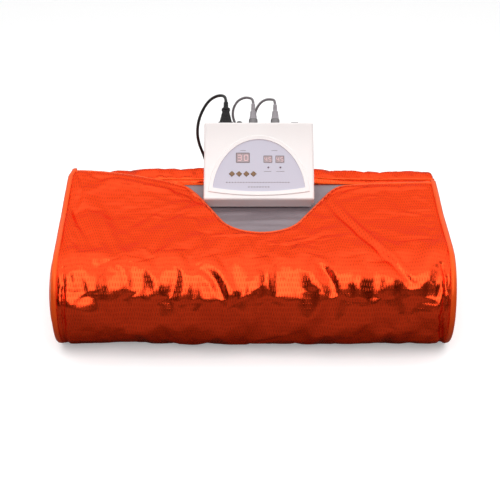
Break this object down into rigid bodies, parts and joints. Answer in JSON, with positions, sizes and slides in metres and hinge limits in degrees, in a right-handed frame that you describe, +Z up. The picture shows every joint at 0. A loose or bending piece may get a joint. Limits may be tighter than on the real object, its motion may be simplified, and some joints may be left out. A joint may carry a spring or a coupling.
{
  "type": "infrared sauna blanket",
  "caption": "Folded orange quilted sauna blanket with a neck cut-out and silver lining, its white sloping controller leaning on the padded head end, with mains lead and zone leads.",
  "frame": {"origin": "centre of the flat underside that the folded blanket rests on", "axes": "+X to the right along the blanket's width, +Y towards its back, +Z up"},
  "size_m": [0.8, 0.665, 0.3621],
  "materials": {
    "orange_satin": "satin nylon with a fine dash weave",
    "orange_binding": "glossy woven tape",
    "silver_lining": "matt coated cloth",
    "carrier_felt": "needle felt",
    "closure_tape": "hook and loop",
    "heating_cable": "silicone sleeve",
    "sensor_resin": "potted",
    "cutout_case": "moulded",
    "case_white": "glossy moulded ABS",
    "membrane_grey": "matt printed polyester film",
    "display_window": "tinted window",
    "key_gold": "embossed",
    "led_lens": "clear",
    "circuit_board": "green solder mask",
    "switch_steel": "tinned",
    "transformer_steel": "varnished laminations",
    "relay_blue": "moulded",
    "black_plastic": "moulded",
    "black_pvc": "satin flexible PVC",
    "grey_plastic": "moulded, ribbed",
    "grey_pvc": "satin flexible PVC",
    "nickel": "nickel plate",
    "pin_brass": "bare",
    "fuse_glass": "clear",
    "screw_steel": "zinc plate",
    "foot_rubber": "matt",
    "rocker_red": "moulded"
  },
  "bodies": {
    "blanket": {"flap_quilted_shell": "orange_satin", "base_quilted_shell": "orange_satin", "head_bolster": "orange_satin", "flap_binding_left": "orange_binding", "flap_binding_right": "orange_binding", "base_binding_left": "orange_binding", "base_binding_right": "orange_binding", "neck_binding": "orange_binding", "foot_binding": "orange_binding", "flap_lining": "silver_lining", "base_lining": "silver_lining", "flap_heater_mat": "carrier_felt", "base_heater_mat": "carrier_felt", "hook_tapes": "closure_tape", "loop_tapes": "closure_tape", "coil_tie": "closure_tape", "flap_heating_cable": "heating_cable", "base_heating_cable": "heating_cable", "temperature_sensors": "sensor_resin", "thermal_cutouts": "cutout_case", "wall_plug": "black_plastic", "mains_lead": "black_pvc", "mains_lead_tail": "black_pvc", "mains_lead_coil": "black_pvc", "lead_glands": "black_pvc", "upper_zone_lead": "grey_pvc", "lower_zone_lead": "grey_pvc", "wall_plug_pins": "pin_brass"},
    "controller": {"console_top_shell": "case_white", "console_bottom_shell": "case_white", "membrane_overlay": "membrane_grey", "time_display": "display_window", "upper_zone_display": "display_window", "lower_zone_display": "display_window", "status_leds": "led_lens", "display_board": "circuit_board", "key_switches": "switch_steel", "main_board": "circuit_board", "transformer": "transformer_steel", "zone_relays": "relay_blue", "power_inlet": "black_plastic", "output_sockets": "nickel", "rocker_frame": "black_plastic", "fuse_holder": "black_plastic", "fuse": "fuse_glass", "rubber_feet": "foot_rubber", "case_screws": "screw_steel", "mains_connector": "black_plastic", "mains_strain_relief": "black_pvc", "upper_zone_plug": "grey_plastic", "lower_zone_plug": "grey_plastic"},
    "key_power": {"key_power": "key_gold"},
    "key_time": {"key_time": "key_gold"},
    "key_temperature_up": {"key_temperature_up": "key_gold"},
    "key_temperature_down": {"key_temperature_down": "key_gold"},
    "power_rocker": {"power_rocker": "rocker_red"},
    "fuse_cap": {"fuse_cap": "black_plastic"},
    "upper_coupling_ring": {"upper_coupling_ring": "nickel"},
    "lower_coupling_ring": {"lower_coupling_ring": "nickel"}
  },
  "joints": [
    {"name": "controller_lift", "type": "slide", "parent": "blanket", "child": "controller", "axis": [0, 0, 1], "range_m": [0, 0.1], "deforming": ["mains_lead", "upper_zone_lead", "lower_zone_lead"]},
    {"name": "key_power_press", "type": "slide", "parent": "controller", "child": "key_power", "axis": [0, 0.6728, -0.7398], "range_m": [0, 0.0005], "stiffness_N_per_m": 800, "springref_m": -0.001},
    {"name": "key_time_press", "type": "slide", "parent": "controller", "child": "key_time", "axis": [0, 0.6728, -0.7398], "range_m": [0, 0.0005], "stiffness_N_per_m": 800, "springref_m": -0.001},
    {"name": "key_temperature_up_press", "type": "slide", "parent": "controller", "child": "key_temperature_up", "axis": [0, 0.6728, -0.7398], "range_m": [0, 0.0005], "stiffness_N_per_m": 800, "springref_m": -0.001},
    {"name": "key_temperature_down_press", "type": "slide", "parent": "controller", "child": "key_temperature_down", "axis": [0, 0.6728, -0.7398], "range_m": [0, 0.0005], "stiffness_N_per_m": 800, "springref_m": -0.001},
    {"name": "power_rocker_tilt", "type": "hinge", "parent": "controller", "child": "power_rocker", "pos_m": [0.092, 0.20763, 0.3145], "axis": [1, 0, 0], "range_deg": [0, 18]},
    {"name": "fuse_cap_turn", "type": "hinge", "parent": "controller", "child": "fuse_cap", "pos_m": [-0.028, 0.20963, 0.31601], "axis": [0, 0.7981, 0.6025], "range_deg": [0, 90]},
    {"name": "upper_ring_turn", "type": "hinge", "parent": "controller", "child": "upper_coupling_ring", "pos_m": [0.002, 0.21362, 0.31902], "axis": [0, 0.7981, 0.6025], "range_deg": [0, 90]},
    {"name": "lower_ring_turn", "type": "hinge", "parent": "controller", "child": "lower_coupling_ring", "pos_m": [0.05, 0.21362, 0.31902], "axis": [0, 0.7981, 0.6025], "range_deg": [0, 90]}
  ]
}
